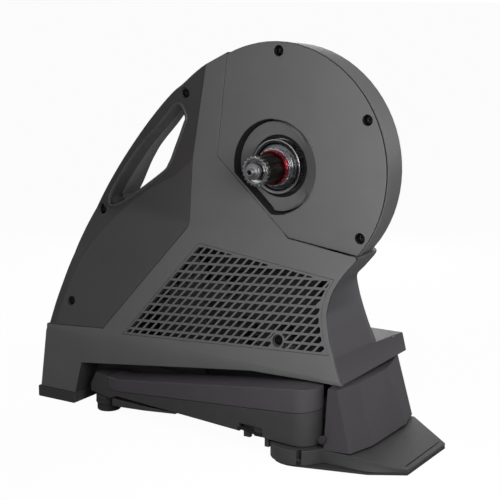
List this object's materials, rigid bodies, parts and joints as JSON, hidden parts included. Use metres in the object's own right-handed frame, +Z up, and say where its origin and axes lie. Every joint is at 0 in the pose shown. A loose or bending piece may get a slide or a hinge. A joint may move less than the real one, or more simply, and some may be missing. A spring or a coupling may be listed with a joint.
{
  "type": "direct drive bike trainer",
  "caption": "Direct drive bike trainer: a disc-shaped pulley housing over a leaning body with a handle, a splined freehub, an inner belt-driven flywheel and two folding legs.",
  "frame": {"origin": "on the floor, under the middle of the overall box of the folded trainer; the XZ plane through it is the middle plane of the bike", "axes": "+X towards the bike's front, +Y away from the drive side, +Z up"},
  "size_m": [0.537, 0.213, 0.47],
  "materials": {
    "shell": "matte moulded",
    "dark_shell": "matte moulded, darker",
    "casting": "fine textured paint",
    "machined": "turned, bright",
    "steel": "ground",
    "black_steel": "blackened",
    "red_anodised": "red anodised",
    "rubber": "matte",
    "copper": "enamelled wire",
    "board": "solder mask"
  },
  "bodies": {
    "frame": {"drive_side_shell": "shell", "far_side_shell": "shell", "flywheel_cover": "shell", "disc_cover": "shell", "pulley_housing": "shell", "vent_grille": "dark_shell", "front_cover": "dark_shell", "pedestal": "dark_shell", "frame_upright": "casting", "drive_side_plate": "casting", "idler_arm": "casting", "spine": "casting", "rear_leg_casting": "casting", "front_foot": "casting", "end_cap_drive_side": "machined", "end_cap_far_side": "machined", "main_axle": "steel", "hub_bearing_drive_side": "steel", "hub_bearing_far_side": "steel", "shaft_bearing_drive_side": "steel", "shaft_bearing_far_side": "steel", "brake_core": "steel", "drive_side_hinge_pin": "steel", "far_side_hinge_pin": "steel", "cover_screw_1": "black_steel", "cover_screw_2": "black_steel", "cover_screw_3": "black_steel", "shell_screw_1": "black_steel", "shell_screw_2": "black_steel", "shell_screw_3": "black_steel", "grille_screw": "black_steel", "idler_bolt": "black_steel", "belt": "rubber", "rear_foot_pad": "rubber", "power_inlet": "rubber", "front_foot_sole": "rubber", "drive_side_leg_stop": "rubber", "far_side_leg_stop": "rubber", "brake_coil_upper": "copper", "brake_coil_lower": "copper", "circuit_board": "board"},
    "flywheel": {"flywheel": "casting", "flywheel_shaft": "steel"},
    "hub": {"hub_shell": "machined", "drive_pulley": "machined"},
    "freehub": {"freehub_body": "black_steel", "freehub_end_ring": "machined", "freehub_red_ring": "red_anodised"},
    "idler": {"idler_pulley": "steel"},
    "drive_side_leg": {"drive_side_leg": "casting", "drive_side_leg_cover": "dark_shell"},
    "drive_side_latch": {"drive_side_latch": "dark_shell"},
    "drive_side_foot_pad": {"drive_side_foot_pad": "rubber"},
    "drive_side_foot_screw": {"drive_side_foot_screw": "black_steel"},
    "far_side_leg": {"far_side_leg": "casting", "far_side_leg_cover": "dark_shell"},
    "far_side_latch": {"far_side_latch": "dark_shell"},
    "far_side_foot_pad": {"far_side_foot_pad": "rubber"},
    "far_side_foot_screw": {"far_side_foot_screw": "black_steel"}
  },
  "joints": [
    {"name": "flywheel_spin", "type": "hinge", "parent": "frame", "child": "flywheel", "pos_m": [-0.0585, 0.0525, 0.184], "axis": [0, 1, 0], "continuous": true},
    {"name": "hub_spin", "type": "hinge", "parent": "frame", "child": "hub", "pos_m": [0.0695, 0.0025, 0.325], "axis": [0, 1, 0], "continuous": true},
    {"name": "freehub_spin", "type": "hinge", "parent": "hub", "child": "freehub", "pos_m": [0.0695, -0.0425, 0.325], "axis": [0, 1, 0], "continuous": true},
    {"name": "idler_spin", "type": "hinge", "parent": "frame", "child": "idler", "pos_m": [-0.01053, 0.0035, 0.16699], "axis": [0, 1, 0], "continuous": true},
    {"name": "drive_side_leg_swing", "type": "hinge", "parent": "frame", "child": "drive_side_leg", "pos_m": [0.1395, -0.0705, 0.04], "axis": [0, 0, 1], "range_deg": [0, 95]},
    {"name": "drive_side_latch_slide", "type": "slide", "parent": "drive_side_leg", "child": "drive_side_latch", "axis": [1, 0, 0], "range_m": [0, 0.006]},
    {"name": "drive_side_foot_slide", "type": "slide", "parent": "drive_side_leg", "child": "drive_side_foot_pad", "axis": [0, 0, -1], "range_m": [0, 0.00875]},
    {"name": "drive_side_foot_turn", "type": "hinge", "parent": "drive_side_foot_pad", "child": "drive_side_foot_screw", "pos_m": [-0.1575, -0.0505, 0.015], "axis": [0, 0, 1], "range_deg": [0, 1800]},
    {"name": "far_side_leg_swing", "type": "hinge", "parent": "frame", "child": "far_side_leg", "pos_m": [0.1395, 0.0705, 0.04], "axis": [0, 0, -1], "range_deg": [0, 95]},
    {"name": "far_side_latch_slide", "type": "slide", "parent": "far_side_leg", "child": "far_side_latch", "axis": [1, 0, 0], "range_m": [0, 0.006]},
    {"name": "far_side_foot_slide", "type": "slide", "parent": "far_side_leg", "child": "far_side_foot_pad", "axis": [0, 0, -1], "range_m": [0, 0.00875]},
    {"name": "far_side_foot_turn", "type": "hinge", "parent": "far_side_foot_pad", "child": "far_side_foot_screw", "pos_m": [-0.1575, 0.0505, 0.015], "axis": [0, 0, 1], "range_deg": [0, 1800]}
  ],
  "couplings": [
    {"joint": "hub_spin", "follows": "flywheel_spin", "ratio": 0.13333},
    {"joint": "idler_spin", "follows": "flywheel_spin", "ratio": -1.1429},
    {"joint": "drive_side_foot_slide", "follows": "drive_side_foot_turn", "m_per_rad": 0.0002785},
    {"joint": "far_side_foot_slide", "follows": "far_side_foot_turn", "m_per_rad": 0.0002785}
  ]
}
